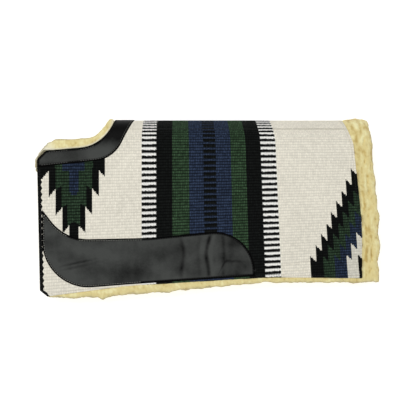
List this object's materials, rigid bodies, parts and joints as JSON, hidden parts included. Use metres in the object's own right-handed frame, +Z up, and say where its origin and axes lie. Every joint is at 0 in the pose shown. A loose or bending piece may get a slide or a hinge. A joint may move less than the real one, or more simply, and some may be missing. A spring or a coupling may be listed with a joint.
{
  "type": "saddle pad",
  "caption": "Folded western saddle pad with woven striped blanket, felt core, fleece lining, leather wither band and wear patches, opening at the spine.",
  "frame": {"origin": "centre of the folded pad's footprint, on the surface that it lies on", "axes": "+X along the spine from the withers to the rear, +Y towards the fold, +Z up through the near half"},
  "size_m": [0.7869, 0.4136, 0.092],
  "materials": {
    "woven_blanket": "coarse weft-faced weave, cream with black, green and navy bands",
    "felt_core": "dense pressed wool felt",
    "fleece_lining": "curly cream-yellow fleece pile",
    "black_leather": "soft black grain leather, satin",
    "leather_thread": "waxed black thread",
    "blanket_thread": "natural cotton thread"
  },
  "bodies": {
    "far_half": {"far_blanket": "woven_blanket", "far_felt": "felt_core", "far_fleece": "fleece_lining", "far_wither_leather": "black_leather", "far_wear_leather": "black_leather", "far_wither_leather_thread": "leather_thread", "far_wear_leather_thread": "leather_thread", "far_hem_thread": "blanket_thread", "far_spine_thread": "blanket_thread"},
    "near_half": {"near_blanket": "woven_blanket", "near_felt": "felt_core", "near_fleece": "fleece_lining", "near_wither_leather": "black_leather", "near_wear_leather": "black_leather", "near_wither_leather_thread": "leather_thread", "near_wear_leather_thread": "leather_thread", "near_hem_thread": "blanket_thread", "near_spine_thread": "blanket_thread"}
  },
  "joints": [
    {"name": "spine_fold", "type": "hinge", "parent": "far_half", "child": "near_half", "pos_m": [0, 0.20696, 0.0484], "axis": [-1, 0, 0], "range_deg": [0, 179]}
  ]
}
